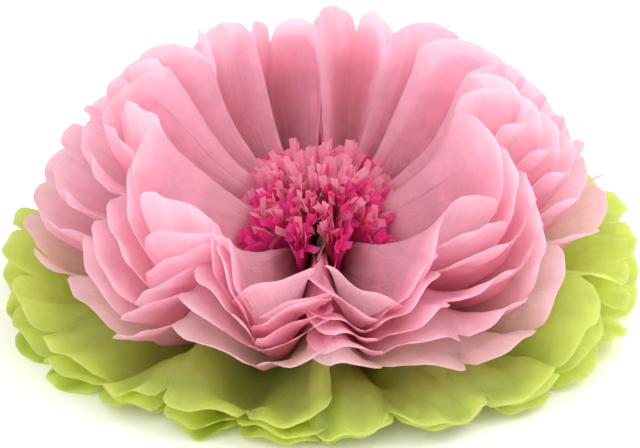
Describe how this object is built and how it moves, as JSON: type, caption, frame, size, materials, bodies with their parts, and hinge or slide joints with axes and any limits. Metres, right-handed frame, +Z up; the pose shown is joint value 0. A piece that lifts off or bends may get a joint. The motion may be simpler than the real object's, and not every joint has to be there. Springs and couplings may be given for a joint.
{
  "type": "tissue paper flower",
  "caption": "Fluffed tissue-paper flower: green leaf sheets, pink petal sheets and a slit fringe heart, all pleated and gathered in one twist tie with a hanging eye.",
  "frame": {"origin": "centre of the flower's footprint, on the surface that the leaf tips rest on", "axes": "+Z up out of the flower's heart; X along the gathered neck, from the left fans to the right fans; +Y to the back, where the petals stand highest, so -Y is the open front"},
  "size_m": [0.4024, 0.4031, 0.1584],
  "materials": {
    "leaf_paper": "matte translucent tissue",
    "petal_paper": "matte translucent tissue",
    "hot_fringe_paper": "matte translucent tissue",
    "pale_fringe_paper": "matte translucent tissue",
    "tie": "paper-covered wire"
  },
  "bodies": {
    "gathered_neck": {"twist_tie": "tie", "leaf_sheet_1_neck": "leaf_paper", "leaf_sheet_2_neck": "leaf_paper", "leaf_sheet_3_neck": "leaf_paper", "petal_sheet_1_neck": "petal_paper", "petal_sheet_2_neck": "petal_paper", "petal_sheet_3_neck": "petal_paper", "petal_sheet_4_neck": "petal_paper", "petal_sheet_5_neck": "petal_paper", "petal_sheet_6_neck": "petal_paper", "hot_fringe_1_neck": "hot_fringe_paper", "hot_fringe_2_neck": "hot_fringe_paper", "pale_fringe_1_neck": "pale_fringe_paper", "pale_fringe_2_neck": "pale_fringe_paper", "leaf_sheet_1_left_fan": "leaf_paper", "leaf_sheet_1_right_fan": "leaf_paper"},
    "leaf_sheet_2_left": {"leaf_sheet_2_left_fan": "leaf_paper"},
    "leaf_sheet_3_left": {"leaf_sheet_3_left_fan": "leaf_paper"},
    "petal_sheet_1_left": {"petal_sheet_1_left_fan": "petal_paper"},
    "petal_sheet_2_left": {"petal_sheet_2_left_fan": "petal_paper"},
    "petal_sheet_3_left": {"petal_sheet_3_left_fan": "petal_paper"},
    "petal_sheet_4_left": {"petal_sheet_4_left_fan": "petal_paper"},
    "petal_sheet_5_left": {"petal_sheet_5_left_fan": "petal_paper"},
    "petal_sheet_6_left": {"petal_sheet_6_left_fan": "petal_paper"},
    "hot_fringe_1_left": {"hot_fringe_1_left_fan": "hot_fringe_paper"},
    "hot_fringe_2_left": {"hot_fringe_2_left_fan": "hot_fringe_paper"},
    "pale_fringe_1_left": {"pale_fringe_1_left_fan": "pale_fringe_paper"},
    "pale_fringe_2_left": {"pale_fringe_2_left_fan": "pale_fringe_paper"},
    "leaf_sheet_2_right": {"leaf_sheet_2_right_fan": "leaf_paper"},
    "leaf_sheet_3_right": {"leaf_sheet_3_right_fan": "leaf_paper"},
    "petal_sheet_1_right": {"petal_sheet_1_right_fan": "petal_paper"},
    "petal_sheet_2_right": {"petal_sheet_2_right_fan": "petal_paper"},
    "petal_sheet_3_right": {"petal_sheet_3_right_fan": "petal_paper"},
    "petal_sheet_4_right": {"petal_sheet_4_right_fan": "petal_paper"},
    "petal_sheet_5_right": {"petal_sheet_5_right_fan": "petal_paper"},
    "petal_sheet_6_right": {"petal_sheet_6_right_fan": "petal_paper"},
    "hot_fringe_1_right": {"hot_fringe_1_right_fan": "hot_fringe_paper"},
    "hot_fringe_2_right": {"hot_fringe_2_right_fan": "hot_fringe_paper"},
    "pale_fringe_1_right": {"pale_fringe_1_right_fan": "pale_fringe_paper"},
    "pale_fringe_2_right": {"pale_fringe_2_right_fan": "pale_fringe_paper"}
  },
  "joints": [
    {"name": "leaf_sheet_2_left_bend", "type": "hinge", "parent": "gathered_neck", "child": "leaf_sheet_2_left", "pos_m": [-0.006, 0, 0.01794], "axis": [0, 1, 0], "range_deg": [-1, 0]},
    {"name": "leaf_sheet_3_left_bend", "type": "hinge", "parent": "gathered_neck", "child": "leaf_sheet_3_left", "pos_m": [-0.006, 0, 0.01933], "axis": [0, 1, 0], "range_deg": [-2, 0]},
    {"name": "petal_sheet_1_left_bend", "type": "hinge", "parent": "gathered_neck", "child": "petal_sheet_1_left", "pos_m": [-0.006, 0, 0.02071], "axis": [0, 1, 0], "range_deg": [-2, 0]},
    {"name": "petal_sheet_2_left_bend", "type": "hinge", "parent": "gathered_neck", "child": "petal_sheet_2_left", "pos_m": [-0.006, 0, 0.0221], "axis": [0, 1, 0], "range_deg": [-5.8, 0]},
    {"name": "petal_sheet_3_left_bend", "type": "hinge", "parent": "gathered_neck", "child": "petal_sheet_3_left", "pos_m": [-0.006, 0, 0.02348], "axis": [0, 1, 0], "range_deg": [-9.6, 0]},
    {"name": "petal_sheet_4_left_bend", "type": "hinge", "parent": "gathered_neck", "child": "petal_sheet_4_left", "pos_m": [-0.006, 0, 0.02487], "axis": [0, 1, 0], "range_deg": [-13.4, 0]},
    {"name": "petal_sheet_5_left_bend", "type": "hinge", "parent": "gathered_neck", "child": "petal_sheet_5_left", "pos_m": [-0.006, 0, 0.02625], "axis": [0, 1, 0], "range_deg": [-17.2, 0]},
    {"name": "petal_sheet_6_left_bend", "type": "hinge", "parent": "gathered_neck", "child": "petal_sheet_6_left", "pos_m": [-0.006, 0, 0.02763], "axis": [0, 1, 0], "range_deg": [-21, 0]},
    {"name": "hot_fringe_1_left_bend", "type": "hinge", "parent": "gathered_neck", "child": "hot_fringe_1_left", "pos_m": [-0.006, 0, 0.02902], "axis": [0, 1, 0], "range_deg": [-19, 0]},
    {"name": "hot_fringe_2_left_bend", "type": "hinge", "parent": "gathered_neck", "child": "hot_fringe_2_left", "pos_m": [-0.0052, 0, 0.0304], "axis": [0, 1, 0], "range_deg": [-17.5, 0]},
    {"name": "pale_fringe_1_left_bend", "type": "hinge", "parent": "gathered_neck", "child": "pale_fringe_1_left", "pos_m": [-0.0044, 0, 0.03179], "axis": [0, 1, 0], "range_deg": [-16, 0]},
    {"name": "pale_fringe_2_left_bend", "type": "hinge", "parent": "gathered_neck", "child": "pale_fringe_2_left", "pos_m": [-0.0036, 0, 0.03317], "axis": [0, 1, 0], "range_deg": [-14.5, 0]},
    {"name": "leaf_sheet_2_right_bend", "type": "hinge", "parent": "gathered_neck", "child": "leaf_sheet_2_right", "pos_m": [0.006, 0, 0.01794], "axis": [0, -1, 0], "range_deg": [-1, 0]},
    {"name": "leaf_sheet_3_right_bend", "type": "hinge", "parent": "gathered_neck", "child": "leaf_sheet_3_right", "pos_m": [0.006, 0, 0.01933], "axis": [0, -1, 0], "range_deg": [-2, 0]},
    {"name": "petal_sheet_1_right_bend", "type": "hinge", "parent": "gathered_neck", "child": "petal_sheet_1_right", "pos_m": [0.006, 0, 0.02071], "axis": [0, -1, 0], "range_deg": [-2, 0]},
    {"name": "petal_sheet_2_right_bend", "type": "hinge", "parent": "gathered_neck", "child": "petal_sheet_2_right", "pos_m": [0.006, 0, 0.0221], "axis": [0, -1, 0], "range_deg": [-5.8, 0]},
    {"name": "petal_sheet_3_right_bend", "type": "hinge", "parent": "gathered_neck", "child": "petal_sheet_3_right", "pos_m": [0.006, 0, 0.02348], "axis": [0, -1, 0], "range_deg": [-9.6, 0]},
    {"name": "petal_sheet_4_right_bend", "type": "hinge", "parent": "gathered_neck", "child": "petal_sheet_4_right", "pos_m": [0.006, 0, 0.02487], "axis": [0, -1, 0], "range_deg": [-13.4, 0]},
    {"name": "petal_sheet_5_right_bend", "type": "hinge", "parent": "gathered_neck", "child": "petal_sheet_5_right", "pos_m": [0.006, 0, 0.02625], "axis": [0, -1, 0], "range_deg": [-17.2, 0]},
    {"name": "petal_sheet_6_right_bend", "type": "hinge", "parent": "gathered_neck", "child": "petal_sheet_6_right", "pos_m": [0.006, 0, 0.02763], "axis": [0, -1, 0], "range_deg": [-21, 0]},
    {"name": "hot_fringe_1_right_bend", "type": "hinge", "parent": "gathered_neck", "child": "hot_fringe_1_right", "pos_m": [0.006, 0, 0.02902], "axis": [0, -1, 0], "range_deg": [-19, 0]},
    {"name": "hot_fringe_2_right_bend", "type": "hinge", "parent": "gathered_neck", "child": "hot_fringe_2_right", "pos_m": [0.0052, 0, 0.0304], "axis": [0, -1, 0], "range_deg": [-17.5, 0]},
    {"name": "pale_fringe_1_right_bend", "type": "hinge", "parent": "gathered_neck", "child": "pale_fringe_1_right", "pos_m": [0.0044, 0, 0.03179], "axis": [0, -1, 0], "range_deg": [-16, 0]},
    {"name": "pale_fringe_2_right_bend", "type": "hinge", "parent": "gathered_neck", "child": "pale_fringe_2_right", "pos_m": [0.0036, 0, 0.03317], "axis": [0, -1, 0], "range_deg": [-14.5, 0]}
  ],
  "couplings": [
    {"joint": "leaf_sheet_2_left_bend", "follows": "petal_sheet_6_left_bend", "ratio": 0.047619},
    {"joint": "leaf_sheet_3_left_bend", "follows": "petal_sheet_6_left_bend", "ratio": 0.095238},
    {"joint": "petal_sheet_1_left_bend", "follows": "petal_sheet_6_left_bend", "ratio": 0.095238},
    {"joint": "petal_sheet_2_left_bend", "follows": "petal_sheet_6_left_bend", "ratio": 0.27619},
    {"joint": "petal_sheet_3_left_bend", "follows": "petal_sheet_6_left_bend", "ratio": 0.45714},
    {"joint": "petal_sheet_4_left_bend", "follows": "petal_sheet_6_left_bend", "ratio": 0.63809},
    {"joint": "petal_sheet_5_left_bend", "follows": "petal_sheet_6_left_bend", "ratio": 0.81905},
    {"joint": "hot_fringe_1_left_bend", "follows": "petal_sheet_6_left_bend", "ratio": 0.90476},
    {"joint": "hot_fringe_2_left_bend", "follows": "petal_sheet_6_left_bend", "ratio": 0.83333},
    {"joint": "pale_fringe_1_left_bend", "follows": "petal_sheet_6_left_bend", "ratio": 0.76191},
    {"joint": "pale_fringe_2_left_bend", "follows": "petal_sheet_6_left_bend", "ratio": 0.69048},
    {"joint": "leaf_sheet_2_right_bend", "follows": "petal_sheet_6_right_bend", "ratio": 0.047619},
    {"joint": "leaf_sheet_3_right_bend", "follows": "petal_sheet_6_right_bend", "ratio": 0.095238},
    {"joint": "petal_sheet_1_right_bend", "follows": "petal_sheet_6_right_bend", "ratio": 0.095238},
    {"joint": "petal_sheet_2_right_bend", "follows": "petal_sheet_6_right_bend", "ratio": 0.27619},
    {"joint": "petal_sheet_3_right_bend", "follows": "petal_sheet_6_right_bend", "ratio": 0.45714},
    {"joint": "petal_sheet_4_right_bend", "follows": "petal_sheet_6_right_bend", "ratio": 0.63809},
    {"joint": "petal_sheet_5_right_bend", "follows": "petal_sheet_6_right_bend", "ratio": 0.81905},
    {"joint": "hot_fringe_1_right_bend", "follows": "petal_sheet_6_right_bend", "ratio": 0.90476},
    {"joint": "hot_fringe_2_right_bend", "follows": "petal_sheet_6_right_bend", "ratio": 0.83333},
    {"joint": "pale_fringe_1_right_bend", "follows": "petal_sheet_6_right_bend", "ratio": 0.76191},
    {"joint": "pale_fringe_2_right_bend", "follows": "petal_sheet_6_right_bend", "ratio": 0.69048}
  ]
}
